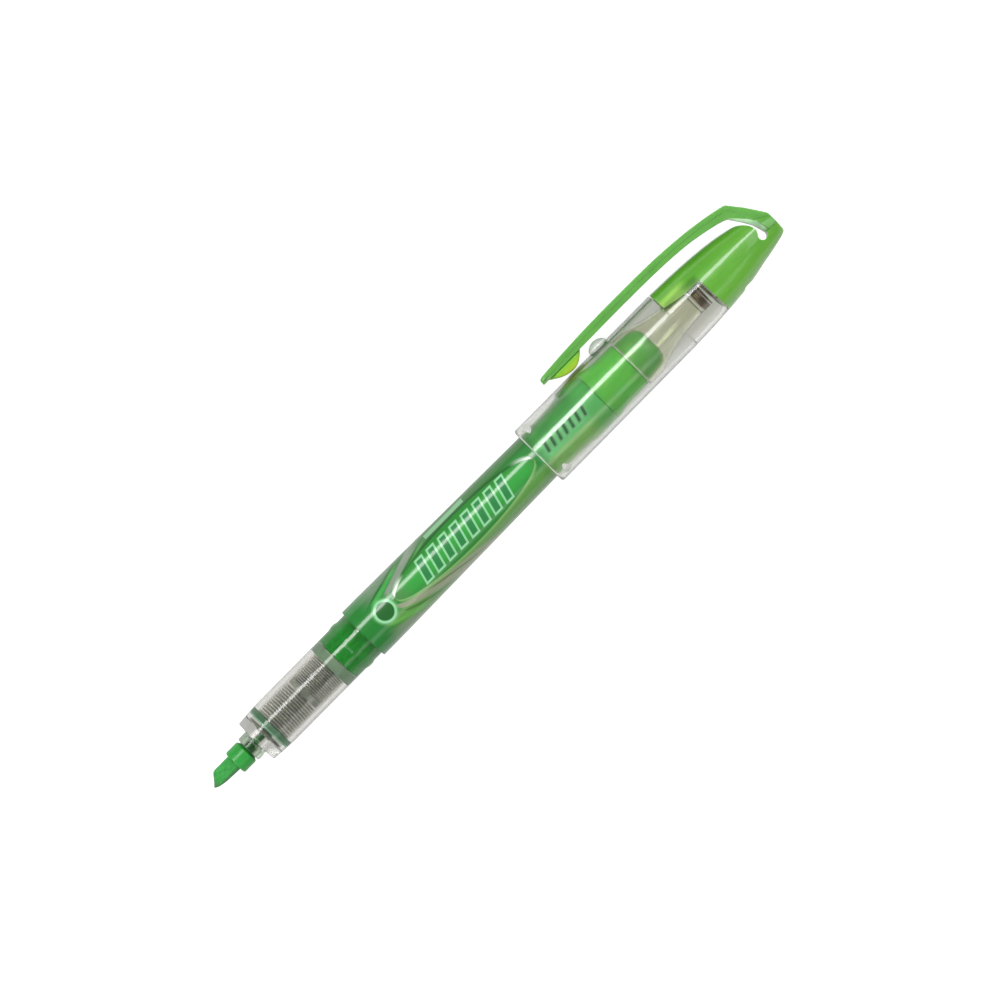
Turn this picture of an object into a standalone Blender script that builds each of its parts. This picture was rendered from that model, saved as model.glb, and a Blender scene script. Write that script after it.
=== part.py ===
"""A liquid-ink highlighter with its clear cap posted on the rear of the barrel.

All constants and profiles are in millimetres. Distances along the pen are counted from the tip of
the nib. The pen lies along +X with the nib at -X, its clip towards +Y and +Z up. The origin is at
the bottom centre of the whole object's box.
"""

import math

import bmesh
import bpy

MM = 0.001

# Whole object
LENGTH = 150.8  # nib tip to the crown's end facet, cap posted
CAP_R = 6.6  # cap sleeve at its mouth, the widest turned part
CLIP_TOP = 10.84  # clip's outer edge above the pen's axis
AXIS_Y = (CAP_R - CLIP_TOP) / 2  # pen's axis, so that the box is centred on y = 0
SEGMENTS = 24  # around each turned part, a multiple of 4
FINE_SEGMENTS = 16  # around the comb's fins and the thin inner rods

# Clear front section
NOSE_X = 9.5
SHOULDER_X = 11.73
NOSE_R = 2.77
SHOULDER_R = 4.72
SECTION_R = 5.04
SECTION_BORE_R = 4.12
SECTION_END_X = 46.0
ROD_BORE_R = 1.2

# Ink comb inside the front section
FIN_R = 3.9
COMB_CORE_R = 1.9
COMB_NECK_R = 1.5
WICK_BORE_R = 0.76
WICK_R = 0.68
FRONT_FINS_X = 16.35
FRONT_FINS = 13
FRONT_PITCH = 0.579
REAR_FINS_X = 25.6
REAR_FINS = 12
REAR_PITCH = 0.475
SEAL_R = 4.05

# Barrel, printed sleeve and rear plug
BARREL_X = 40.4
BARREL_END_X = 103.35
BARREL_R = 5.60
BARREL_WAIST_R = 5.0
BARREL_BEAD_R = 5.26
WRAP_GAP = 0.04
WRAP = 0.10
PLUG_END_X = 118.05

# Cap
CAP_MOUTH_X = 87.5
CAP_BORE_R = 5.78
SLEEVE_END_X = 123.75
HOUSING_X = 123.9
HOUSING_END_X = 132.8
LIP_X = 127.7
LIP_END_X = 128.5
SPRING_BORE_R = 3.3
TONGUE_Y = 1.67  # the green tongue covers the clear housing above this height
TONGUE_BORE_R = 5.4
FIT = 0.1  # play between two parts that are pressed or welded together

# Inner cap and its spring
INNER_CAP_X = 112.2
INNER_CAP_END_X = 129.1
SPRING_X = 129.16
SPRING_END_X = 132.74
SPRING_WIRE_R = 0.21
SPRING_R = 2.84

# Clip
HINGE_X = 149.35  # where the clip's root bends
HINGE_Y = -0.7
ROOT_GAP = 0.24
HOLE_X = 147.05  # round end of the slot between clip and crown
HOLE_Y = -0.7
HOLE_R = 0.95
FLANGE = 1.05  # thickness of the clip's outer flange
FLANGE_HALF = 2.5
RIB_HALF = 1.8

CLIP_OUTER = [
    (97.9, 9.70),
    (98.3, 10.10),
    (104.8, 10.54),
    (110.75, 10.76),
    (118.7, CLIP_TOP),
    (128.7, 10.68),
    (135.7, 10.20),
    (139.9, 9.66),
    (143.1, 9.10),
    (145.6, 8.55),
    (148.4, 5.34),
    (149.65, 3.42),
    (LENGTH, 1.6),
]
CLIP_INNER = [
    (98.0, 8.71),
    (125.0, 8.77),
    (131.4, 8.50),
    (135.7, 8.13),
    (139.9, 7.42),
    (143.1, 6.66),
    (144.7, 6.10),
    (146.26, 3.70),
    (147.3, 1.87),
    (147.7, 0.40),
    (147.95, HINGE_Y + ROOT_GAP / 2),
]
# The crown's rounded form: along, centre height, half height, half width.
CROWN = [
    (124.0, 0.0, 6.50, 6.50),
    (128.7, 0.0, 6.34, 6.34),
    (132.5, 0.0, 6.12, 6.12),
    (136.3, 0.0, 5.82, 5.82),
    (138.2, 0.0, 5.58, 5.58),
    (140.1, 0.0, 5.32, 5.32),
    (141.9, 0.0, 4.96, 5.0),
    (143.8, 0.0, 4.54, 4.62),
    (145.7, -0.12, 4.14, 4.22),
    (147.6, -0.28, 3.58, 3.75),
    (149.5, -0.52, 2.92, 3.25),
    (150.4, -0.50, 2.42, 2.9),
    (LENGTH, -0.35, 1.95, 2.52),
]


def clear_scene():
    for obj in list(bpy.data.objects):
        bpy.data.objects.remove(obj)


def new_collection(name):
    collection = bpy.data.collections.new(name)
    bpy.context.scene.collection.children.link(collection)
    return collection


clear_scene()
PARTS = new_collection("highlighter")
CUTTERS = new_collection("cutters")
CUTTERS.hide_render = True


def linear(channel):
    channel /= 255
    return channel / 12.92 if channel <= 0.04045 else ((channel + 0.055) / 1.055) ** 2.4


def material(name, red, green, blue, roughness, metallic=0.0, transmission=0.0):
    """A Principled material of this sRGB colour."""
    made = bpy.data.materials.new(name)
    made.use_nodes = True
    shader = made.node_tree.nodes["Principled BSDF"]
    colour = (linear(red), linear(green), linear(blue), 1)
    shader.inputs["Base Color"].default_value = colour
    shader.inputs["Roughness"].default_value = roughness
    shader.inputs["Metallic"].default_value = metallic
    shader.inputs["Transmission Weight"].default_value = transmission
    shader.inputs["IOR"].default_value = 1.49
    made.diffuse_color = colour
    return made


def empty(name, x, y, turned_along_pen):
    """An empty at this point of the pen. If turned, its own Z runs along the pen."""
    made = bpy.data.objects.new(name, None)
    made.location = ((x - LENGTH / 2) * MM, (y + AXIS_Y) * MM, CAP_R * MM)
    made.rotation_euler = (0, math.pi / 2 if turned_along_pen else 0, 0)
    made.empty_display_size = 5 * MM
    PARTS.objects.link(made)
    return made


PEN_AXIS = empty("pen_axis", 0, 0, True)
PEN_SIDE = empty("pen_side", 0, 0, False)
CAP_AXIS = empty("cap_axis", 0, 0, True)
CAP_SIDE = empty("cap_side", 0, 0, False)
CLIP_HINGE = empty("clip_hinge", HINGE_X, HINGE_Y, False)


def place(obj, parent, look):
    """Link the object as a part, or as a cutter when it has no material."""
    obj.parent = parent
    if look is None:
        CUTTERS.objects.link(obj)
        obj.hide_render = True
        obj.display_type = "WIRE"
    else:
        PARTS.objects.link(obj)
        obj.data.materials.append(look)
    return obj


def turned(name, profile, parent, look, segments=SEGMENTS):
    """A solid turned about the pen's axis from (distance along the pen, radius) points.

    A profile that starts and ends on the axis is left open there.
    """
    after = profile[1:] + profile[:1]
    area = sum(a[1] * b[0] - b[1] * a[0] for a, b in zip(profile, after))
    points = profile if area < 0 else profile[::-1]
    count = len(points)
    edges = [(i, i + 1) for i in range(count - 1)]
    if points[0][1] > 0 or points[-1][1] > 0:
        edges.append((count - 1, 0))
    mesh = bpy.data.meshes.new(name)
    mesh.from_pydata([(r * MM, 0, x * MM) for x, r in points], edges, [])
    obj = bpy.data.objects.new(name, mesh)
    screw = obj.modifiers.new("turn", "SCREW")
    screw.axis = "Z"
    screw.angle = 2 * math.pi
    screw.steps = segments
    screw.render_steps = segments
    screw.use_merge_vertices = True
    screw.merge_threshold = 1e-6
    screw.use_smooth_shade = True
    return place(obj, parent, look)


def skin(name, rings, parent, look, smooth=True):
    """A closed solid through rings of points, with a flat face on the first and the last."""
    made = bmesh.new()
    loops = [[made.verts.new([c * MM for c in point]) for point in ring] for ring in rings]
    count = len(rings[0])
    for ring, following in zip(loops, loops[1:]):
        for i in range(count):
            j = (i + 1) % count
            made.faces.new((ring[i], ring[j], following[j], following[i]))
    made.faces.new(loops[0][::-1])
    made.faces.new(loops[-1])
    bmesh.ops.recalc_face_normals(made, faces=made.faces)
    for face in made.faces:
        face.smooth = smooth and len(face.verts) == 4
    mesh = bpy.data.meshes.new(name)
    made.to_mesh(mesh)
    made.free()
    return place(bpy.data.objects.new(name, mesh), parent, look)


def slab(name, outline, half_width, parent, look, origin=(0, 0)):
    """A flat piece of this (along, height) outline, as thick as twice the half width."""
    rings = []
    for side in (-half_width, half_width):
        rings.append([(x - origin[0], y - origin[1], side) for x, y in outline])
    return skin(name, rings, parent, look, smooth=False)


def block(name, low, high, parent):
    """A box-shaped cutter between two corners."""
    rings = []
    for z in (low[2], high[2]):
        rings.append(
            [(low[0], low[1], z), (high[0], low[1], z), (high[0], high[1], z), (low[0], high[1], z)]
        )
    return skin(name, rings, parent, None, smooth=False)


def ellipse(x, centre, half_height, half_width, count=SEGMENTS):
    ring = []
    for i in range(count):
        angle = 2 * math.pi * i / count
        ring.append((x, centre + half_height * math.cos(angle), half_width * math.sin(angle)))
    return ring


def rounded_rectangle(x, centre, half_height, half_width, corner):
    """Sixteen points around a rectangle with rounded corners, square to the pen."""
    corner = min(corner, half_height, half_width)
    ring = []
    for start, up, side in ((0, 1, 1), (90, -1, 1), (180, -1, -1), (270, 1, -1)):
        for step in range(4):
            angle = math.radians(start + 30 * step)
            height = up * (half_height - corner) + corner * math.cos(angle)
            width = side * (half_width - corner) + corner * math.sin(angle)
            ring.append((x, centre + height, width))
    return ring


def combine(obj, tool, operation):
    """Add a Boolean of the tool to the object."""
    modifier = obj.modifiers.new(tool.name, "BOOLEAN")
    modifier.operation = operation
    modifier.object = tool
    modifier.solver = "EXACT"
    return obj


# Nib and its holder


def nib_rings(play):
    """The chisel nib's sections from its tip to its tail, made larger all round by the play."""
    shape = [
        (0.0, -0.60, -0.45),
        (0.8, -1.05, 0.46),
        (1.5, -1.22, 1.39),
        (1.8, -1.28, 1.68),
        (2.15, -1.32, 1.82),
        (5.6, -1.49, 1.84),
        (8.6, -1.50, 1.84),
    ]
    rings = []
    for x, bottom, top in shape:
        middle = (top + bottom) / 2
        half = (top - bottom) / 2 + play
        rings.append(rounded_rectangle(x, middle, half, 1.75 + play, 0.8 + play))
    return rings


def make_nib():
    look = material("nib_felt", 50, 157, 66, 0.85)
    rings = nib_rings(0)
    rings.append(rounded_rectangle(8.66, 0, 0.62, 0.62, 0.62))
    rings.append(rounded_rectangle(12.2, 0, 0.62, 0.62, 0.62))
    skin("nib", rings, PEN_SIDE, look)


def make_nib_holder():
    look = material("holder_plastic", 77, 165, 87, 0.35)
    profile = [
        (5.94, 2.35),
        (6.3, 2.565),
        (9.0, 2.565),
        (9.3, 2.45),
        (9.42, 2.2),
        (9.42, 1.05),
        (10.9, 1.05),
        (10.9, 0.72),
        (5.94, 0.72),
    ]
    holder = turned("nib_holder", profile, PEN_AXIS, look)
    rings = nib_rings(0.07)[4:]
    rings.append(rounded_rectangle(8.8, 0.17, 1.74, 1.82, 0.87))
    pocket = skin("nib_pocket", rings, PEN_SIDE, None)
    combine(holder, pocket, "DIFFERENCE")


# Clear front section and what it holds


def make_front_section():
    look = material("section_clear", 205, 205, 198, 0.06, transmission=0.9)
    profile = [
        (NOSE_X, NOSE_R - 0.15),
        (NOSE_X + 0.15, NOSE_R),
        (SHOULDER_X, NOSE_R),
        (SHOULDER_X, SHOULDER_R),
        (14.6, 4.93),
        (17.0, SECTION_R),
        (36.4, SECTION_R),
        (36.8, 5.3),
        (37.8, 5.3),
        (38.2, SECTION_R),
        (SECTION_END_X, SECTION_R),
        (SECTION_END_X, SECTION_BORE_R),
        (14.75, SECTION_BORE_R),
        (13.4, 2.1),
        (13.3, ROD_BORE_R),
        (NOSE_X, ROD_BORE_R),
    ]
    turned("front_section", profile, PEN_AXIS, look)


def make_seals():
    green = material("front_seal_plastic", 93, 133, 102, 0.4)
    bore = COMB_NECK_R + 0.1
    front = [(14.9, SEAL_R), (16.2, SEAL_R), (16.2, bore), (14.9, bore)]
    turned("front_seal_ring", front, PEN_AXIS, green)
    milky = material("rear_seal_plastic", 115, 142, 113, 0.5)
    rear = [(31.35, SEAL_R), (33.55, SEAL_R), (33.55, bore), (31.35, bore)]
    turned("rear_seal_ring", rear, PEN_AXIS, milky)


def fins(start, pitch, count):
    """Profile points of a row of thin discs on the comb's core."""
    points = []
    for i in range(count):
        x = start + pitch * i
        points += [(x, COMB_CORE_R), (x, FIN_R), (x + pitch / 2, FIN_R), (x + pitch / 2, COMB_CORE_R)]
    return points


def make_comb():
    look = material("comb_plastic", 165, 176, 160, 0.4)
    profile = [(13.5, 1.12), (14.8, 1.12), (14.8, COMB_NECK_R), (16.3, COMB_NECK_R)]
    profile += [(16.3, COMB_CORE_R)]
    profile += fins(FRONT_FINS_X, FRONT_PITCH, FRONT_FINS)
    profile += [(24.25, COMB_CORE_R), (24.25, 3.1), (25.3, 3.1), (25.3, COMB_CORE_R)]
    profile += fins(REAR_FINS_X, REAR_PITCH, REAR_FINS)
    profile += [(31.3, COMB_CORE_R), (31.3, COMB_NECK_R), (33.5, COMB_NECK_R)]
    profile += [(33.5, WICK_BORE_R), (13.5, WICK_BORE_R)]
    turned("ink_comb", profile, PEN_AXIS, look, FINE_SEGMENTS)


def make_wick():
    look = material("wick_fibre", 60, 138, 74, 0.9)
    profile = [(12.3, 0), (12.3, WICK_R), (33.6, WICK_R), (33.6, 0)]
    turned("feed_wick", profile, PEN_AXIS, look, FINE_SEGMENTS)


def make_ink():
    look = material("ink_green", 40, 150, 62, 0.08, transmission=0.3)
    profile = [
        (33.7, 0),
        (33.7, SEAL_R),
        (46.3, SEAL_R),
        (46.3, 4.62),
        (87.0, 4.08),
        (96.6, 4.08),
        (96.6, 0),
    ]
    turned("ink_charge", profile, PEN_AXIS, look)


# Barrel, print and plug


def barrel_outside(offset):
    """The barrel's outer line from front to rear, moved outwards by the offset."""
    line = [
        (BARREL_X, BARREL_R),
        (87.0, BARREL_WAIST_R),
        (95.0, BARREL_WAIST_R),
        (96.8, 5.1),
        (98.6, BARREL_BEAD_R),
        (BARREL_END_X, BARREL_BEAD_R),
    ]
    return [(x, r + offset) for x, r in line]


def make_barrel():
    look = material("barrel_plastic", 99, 151, 89, 0.25)
    bore = [
        (BARREL_END_X, 4.45),
        (96.8, 4.45),
        (96.4, 4.2),
        (87.0, 4.2),
        (46.2, 4.74),
        (46.1, SECTION_R + 0.06),
        (BARREL_X, SECTION_R + 0.06),
    ]
    turned("barrel", barrel_outside(0) + bore, PEN_AXIS, look)


def make_wrap():
    look = material("wrap_print", 88, 158, 86, 0.3)
    outer = barrel_outside(WRAP_GAP + WRAP)
    inner = barrel_outside(WRAP_GAP)
    turned("barrel_wrap", outer + inner[::-1], PEN_AXIS, look)


def make_plug():
    look = material("plug_plastic", 94, 174, 74, 0.25, transmission=0.2)
    profile = [
        (97.0, 4.35),
        (103.5, 4.35),
        (103.5, 5.4),
        (104.3, 5.36),
        (105.5, 5.1),
        (112.0, 5.05),
        (112.2, 4.7),
        (114.2, 4.6),
        (115.6, 4.35),
        (116.7, 3.9),
        (117.6, 3.2),
        (PLUG_END_X, 2.3),
        (PLUG_END_X, 0),
        (116.9, 0),
        (116.6, 1.8),
        (115.2, 3.2),
        (112.0, 3.8),
        (105.5, 4.0),
        (103.5, 3.4),
        (97.0, 3.4),
    ]
    turned("rear_plug", profile, PEN_AXIS, look)


# Cap


def diamond_bump(name, angle_from_top):
    """A small diamond that stands in from the sleeve's bore and snaps over the section's ring."""
    across = math.radians(angle_from_top)
    rings = []
    for radius, half in ((6.05, 1.0), (5.52, 0.3)):
        ring = []
        for dx, dt in ((half, 0), (0, half * 0.92), (-half, 0), (0, -half * 0.92)):
            y = radius * math.sin(across) + dt * math.cos(across)
            z = radius * math.cos(across) - dt * math.sin(across)
            ring.append((89.8 + dx, y, z))
        rings.append(ring)
    return skin(name, rings, CAP_SIDE, None, smooth=False)


def make_dome():
    """A round clear stop on the sleeve under the clip."""
    rings = []
    for height, radius in ((6.0, 2.1), (6.6, 2.1), (7.1, 1.88), (7.55, 1.4), (7.85, 0.8), (7.95, 0.25)):
        ring = []
        for i in range(16):
            angle = 2 * math.pi * i / 16
            ring.append((110.2 + radius * math.cos(angle), height, radius * math.sin(angle)))
        rings.append(ring)
    return skin("sleeve_dome", rings, CAP_SIDE, None)


def make_sleeve():
    look = material("cap_clear", 205, 208, 200, 0.06, transmission=0.9)
    profile = [
        (CAP_MOUTH_X, 6.3),
        (CAP_MOUTH_X + 0.12, 6.5),
        (CAP_MOUTH_X + 0.4, CAP_R),
        (SLEEVE_END_X, 6.5),
        (SLEEVE_END_X, 5.7),
        (CAP_MOUTH_X + 0.3, CAP_BORE_R),
        (CAP_MOUTH_X, 5.86),
    ]
    sleeve = turned("cap_sleeve", profile, CAP_AXIS, look)
    for i, angle in enumerate((63, 117, 243, 297)):
        combine(sleeve, diamond_bump(f"snap_bump_{i + 1}", angle), "UNION")
    combine(sleeve, make_dome(), "UNION")


def make_housing():
    look = material("housing_clear", 189, 189, 168, 0.1, transmission=0.85)
    profile = [
        (120.6, 5.58),
        (HOUSING_X, 5.58),
        (HOUSING_X, 6.5),
        (128.7, 6.33),
        (132.5, 6.11),
        (HOUSING_END_X, 6.08),
        (HOUSING_END_X, 4.9),
        (135.4, 4.9),
        (135.4, 4.2),
        (133.8, 4.0),
        (133.8, 0),
        (HOUSING_END_X + 0.05, 0),
        (HOUSING_END_X + 0.05, SPRING_BORE_R),
        (LIP_END_X, SPRING_BORE_R),
        (LIP_END_X, 2.62),
        (LIP_X, 2.62),
        (LIP_X, SPRING_BORE_R),
        (124.0, 4.25),
        (120.6, 4.95),
    ]
    housing = turned("spring_housing", profile, CAP_AXIS, look)
    ring = [
        (HOUSING_X - 0.07, TONGUE_BORE_R - FIT),
        (HOUSING_X - 0.07, 8),
        (133.5, 8),
        (133.5, TONGUE_BORE_R - FIT),
    ]
    recess = turned("tongue_recess", ring, CAP_AXIS, None)
    upper = block("above_tongue_edge", (120, TONGUE_Y - 0.05, -9), (140, 9, 9), CAP_SIDE)
    combine(recess, upper, "INTERSECT")
    combine(housing, recess, "DIFFERENCE")


def crown_form(name, look):
    rings = [ellipse(*station) for station in CROWN]
    return skin(name, rings, CAP_SIDE, look)


def slot_outline():
    """The slot under the clip with its round end, and the cut that frees the clip's root."""
    outline = [(142.6, 6.2), (144.4, 4.25), (145.4, 3.45), (146.3, 2.5), (146.8, 1.6), (146.85, 0.75)]
    for angle in range(130, 361, 23):
        turn = math.radians(angle)
        outline.append((HOLE_X + HOLE_R * math.cos(turn), HOLE_Y + HOLE_R * math.sin(turn)))
    low = HINGE_Y - ROOT_GAP / 2
    outline += [(148.02, low), (152, low), (152, 7.5)]
    return outline


def make_crown():
    look = material("crown_green", 104, 176, 72, 0.2, transmission=0.3)
    crown = crown_form("cap_crown", look)
    hollow = [
        (122, 0),
        (122, TONGUE_BORE_R),
        (HOUSING_END_X + 0.15, TONGUE_BORE_R),
        (HOUSING_END_X + 0.15, 5.0),
        (135.7, 5.0),
        (137.5, 4.3),
        (141.0, 3.2),
        (143.4, 1.8),
        (143.4, 0),
    ]
    bore = turned("crown_hollow", hollow, CAP_AXIS, None)
    combine(crown, bore, "DIFFERENCE")
    edge = HOUSING_END_X + 0.15
    window = block("crown_window", (120, -9, -9), (edge, TONGUE_Y + 0.05, 9), CAP_SIDE)
    combine(crown, window, "DIFFERENCE")
    slot = slab("clip_slot", slot_outline(), 6, CAP_SIDE, None)
    combine(crown, slot, "DIFFERENCE")
    notch = block("crown_notch", (137.6, -7, -1.5), (139.6, -5.32, 1.5), CAP_SIDE)
    combine(crown, notch, "DIFFERENCE")


def make_inner_cap():
    look = material("inner_cap_clear", 190, 190, 165, 0.12, transmission=0.85)
    profile = [
        (INNER_CAP_X, 5.45),
        (115.2, 5.42),
        (116.6, 5.15),
        (119.0, 4.33),
        (123.1, 3.34),
        (126.6, 2.8),
        (126.65, 2.5),
        (128.56, 2.5),
        (128.56, 2.86),
        (INNER_CAP_END_X, 2.86),
        (INNER_CAP_END_X, 0),
        (128.2, 0),
        (128.2, 2.05),
        (126.4, 2.12),
        (123.1, 2.88),
        (119.0, 3.88),
        (116.4, 4.74),
        (115.0, 5.02),
        (INNER_CAP_X, 5.08),
    ]
    turned("inner_cap", profile, CAP_AXIS, look)


def make_spring():
    """A closely wound coil that opens towards its rear end."""
    look = material("spring_steel", 96, 88, 78, 0.3, metallic=1.0)
    curve = bpy.data.curves.new("inner_cap_spring", "CURVE")
    curve.dimensions = "3D"
    curve.bevel_depth = SPRING_WIRE_R * MM
    curve.bevel_resolution = 1
    curve.use_fill_caps = True
    turns = 5.0
    steps = 14
    count = int(turns * steps) + 1
    first = SPRING_X + SPRING_WIRE_R
    length = SPRING_END_X - SPRING_WIRE_R - first
    spline = curve.splines.new("POLY")
    spline.points.add(count - 1)
    for i, point in enumerate(spline.points):
        share = i / (count - 1)
        along = first + length * (0.8 * share + 0.2 * share**3)
        angle = 2 * math.pi * turns * share
        x = SPRING_R * math.cos(angle)
        y = SPRING_R * math.sin(angle)
        point.co = (x * MM, y * MM, along * MM, 1)
    place(bpy.data.objects.new("inner_cap_spring", curve), CAP_AXIS, look)


# Clip


def inset(line, depth):
    """The line moved inwards, towards the pen, by the depth."""
    moved = []
    for i, (x, y) in enumerate(line):
        before = line[max(i - 1, 0)]
        after = line[min(i + 1, len(line) - 1)]
        run = after[0] - before[0]
        rise = after[1] - before[1]
        length = math.hypot(run, rise)
        moved.append((x + depth * rise / length, y - depth * run / length))
    return moved


def make_clip():
    look = material("clip_green", 105, 174, 80, 0.25, transmission=0.2)
    hinge = (HINGE_X, HINGE_Y)
    foot = HINGE_Y + ROOT_GAP / 2
    outer = CLIP_OUTER + [(LENGTH, foot)]
    under = inset(outer[1:], FLANGE)
    flange = outer + under[::-1] + [(97.9, 9.05)]
    flange[len(outer)] = (149.7, foot)
    clip = slab("clip_arm", flange, FLANGE_HALF, CLIP_HINGE, look, hinge)
    overlap = inset(outer[1:-1], FLANGE - 0.2)
    rib = CLIP_INNER + [(150.4, foot)] + overlap[::-1]
    combine(clip, slab("clip_rib", rib, RIB_HALF, CLIP_HINGE, None, hinge), "UNION")
    root = [(145.0, 7.0)] + CLIP_INNER[6:] + [(152, foot), (152, 7.0)]
    shoulder = slab("clip_root", root, 6, CAP_SIDE, None)
    combine(shoulder, crown_form("clip_root_form", None), "INTERSECT")
    combine(clip, shoulder, "UNION")


def make_pad():
    look = material("pad_lime", 148, 191, 74, 0.4)
    outline = [
        (99.4, 8.62),
        (100.6, 7.85),
        (101.8, 7.2),
        (103.0, 6.84),
        (104.0, 6.75),
        (105.0, 6.92),
        (106.0, 7.4),
        (106.8, 8.0),
        (107.4, 8.62),
    ]
    slab("clip_pad", outline, RIB_HALF, CLIP_HINGE, look, (HINGE_X, HINGE_Y))


make_nib()
make_nib_holder()
make_front_section()
make_seals()
make_comb()
make_wick()
make_ink()
make_barrel()
make_wrap()
make_plug()
make_sleeve()
make_housing()
make_crown()
make_inner_cap()
make_spring()
make_clip()
make_pad()
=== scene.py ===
"""The look of the highlighter: every piece in fine detail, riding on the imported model's bodies.

Lengths are in millimetres from the tip of the nib and the pen's axis: x along the pen towards the
crown, y towards the clip and z up. The studio's lengths are in metres.
"""

import math

import bmesh
import bpy
import numpy as np
from mathutils import Matrix, Vector


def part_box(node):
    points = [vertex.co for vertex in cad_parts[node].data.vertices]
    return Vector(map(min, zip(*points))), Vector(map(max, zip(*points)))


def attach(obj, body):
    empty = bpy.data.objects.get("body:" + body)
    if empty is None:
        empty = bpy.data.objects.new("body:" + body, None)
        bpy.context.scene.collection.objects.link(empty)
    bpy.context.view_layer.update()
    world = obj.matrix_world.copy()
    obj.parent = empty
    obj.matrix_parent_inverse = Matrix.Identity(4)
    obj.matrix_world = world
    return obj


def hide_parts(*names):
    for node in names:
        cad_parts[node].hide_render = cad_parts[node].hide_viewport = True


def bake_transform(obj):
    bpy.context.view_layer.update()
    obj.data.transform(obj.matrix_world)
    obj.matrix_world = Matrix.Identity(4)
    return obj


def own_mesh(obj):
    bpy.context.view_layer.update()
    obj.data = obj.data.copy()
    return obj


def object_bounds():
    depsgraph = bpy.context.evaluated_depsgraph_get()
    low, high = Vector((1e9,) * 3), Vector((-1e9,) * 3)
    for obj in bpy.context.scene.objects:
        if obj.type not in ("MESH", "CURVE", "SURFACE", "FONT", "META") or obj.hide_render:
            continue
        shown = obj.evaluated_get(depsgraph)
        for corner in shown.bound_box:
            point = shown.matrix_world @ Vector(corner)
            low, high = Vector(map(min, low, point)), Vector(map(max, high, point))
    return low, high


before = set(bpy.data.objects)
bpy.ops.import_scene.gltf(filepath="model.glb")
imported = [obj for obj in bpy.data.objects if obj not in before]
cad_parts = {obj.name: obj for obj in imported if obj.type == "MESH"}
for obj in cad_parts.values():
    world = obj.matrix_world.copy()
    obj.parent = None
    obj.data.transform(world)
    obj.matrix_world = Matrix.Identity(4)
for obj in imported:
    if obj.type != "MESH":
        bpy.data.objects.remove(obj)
CAD_BOX = [list(corner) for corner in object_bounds()]

MM = 0.001
TURN = 2 * math.pi
ROUND = 96  # points round a turned piece
BARREL_LOW, BARREL_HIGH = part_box("barrel")
START = Vector(
    (
        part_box("nib")[0][0],
        (BARREL_LOW[1] + BARREL_HIGH[1]) / 2,
        (BARREL_LOW[2] + BARREL_HIGH[2]) / 2,
    )
)


def along(node, side):
    """Where a CAD node starts (0) or ends (1), in mm from the tip of the nib."""
    return (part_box(node)[side][0] - START.x) / MM


LENGTH = along("cap_crown", 1)
SHOULDER = 11.73  # the flat face behind the clear nose
BARREL = along("barrel", 0)
MOUTH = along("cap_sleeve", 0)
SLEEVE_END = along("cap_sleeve", 1)
HOUSING_REAR = 132.8  # where the crown's closed part starts
CUT_Y = -0.82  # where the clip's root starts from the crown


def point(x, y, z):
    """A place in the scene, from millimetres along, across and above the pen."""
    return START + Vector((x, y, z)) * MM


# Lines and profiles


def rounded(line, radius, closed=True, steps=3):
    """The line with each corner replaced by a small arc. A third number in a point is its own radius."""
    made = []
    count = len(line)
    for i, corner in enumerate(line):
        if not closed and i in (0, count - 1):
            made.append(tuple(corner[:2]))
            continue
        here = np.array(corner[:2], float)
        before = np.array(line[i - 1][:2], float) - here
        after = np.array(line[(i + 1) % count][:2], float) - here
        long_before = np.linalg.norm(before)
        long_after = np.linalg.norm(after)
        before /= long_before
        after /= long_after
        turn = math.pi - math.acos(max(-1, min(1, float(before @ after))))
        wanted = corner[2] if len(corner) > 2 else radius
        if turn < 0.15 or wanted <= 0:
            made.append(tuple(here))
            continue
        reach = min(wanted * math.tan(turn / 2), 0.45 * long_before, 0.45 * long_after)
        first = here + before * reach
        last = here + after * reach
        for step in range(steps + 1):
            share = step / steps
            made.append(
                tuple((1 - share) ** 2 * first + 2 * share * (1 - share) * here + share**2 * last)
            )
    return made


def curve_through(points, each=8):
    """A smooth line through the points, which may have any number of coordinates."""
    spots = [np.array(p, float) for p in points]
    spots = [2 * spots[0] - spots[1], *spots, 2 * spots[-1] - spots[-2]]
    made = []
    for a, b, c, d in zip(spots, spots[1:], spots[2:], spots[3:]):
        slope = c - a
        square = 2 * a - 5 * b + 4 * c - d
        cube = 3 * b - a - 3 * c + d
        for step in range(each):
            t = step / each
            made.append(0.5 * (2 * b + slope * t + square * t**2 + cube * t**3))
    made.append(spots[-2])
    return [tuple(float(v) for v in p) for p in made]


# Meshes


def new_object(name, verts, faces):
    """A mesh from points in millimetres, with doubles merged and its faces turned outwards."""
    mesh = bpy.data.meshes.new(name)
    mesh.from_pydata([point(*v) for v in verts], [], faces)
    made = bmesh.new()
    made.from_mesh(mesh)
    bmesh.ops.remove_doubles(made, verts=made.verts, dist=1e-7)
    bmesh.ops.recalc_face_normals(made, faces=made.faces)
    made.to_mesh(mesh)
    made.free()
    obj = bpy.data.objects.new(name, mesh)
    bpy.context.scene.collection.objects.link(obj)
    return obj


def smooth(obj, angle=38):
    """Smooth shading that keeps sharp edges sharp and flat faces flat."""
    obj.data.polygons.foreach_set("use_smooth", [True] * len(obj.data.polygons))
    obj.data.set_sharp_from_angle(angle=math.radians(angle))
    weighted = obj.modifiers.new("flat_faces", "WEIGHTED_NORMAL")
    weighted.keep_sharp = True
    return obj


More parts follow.
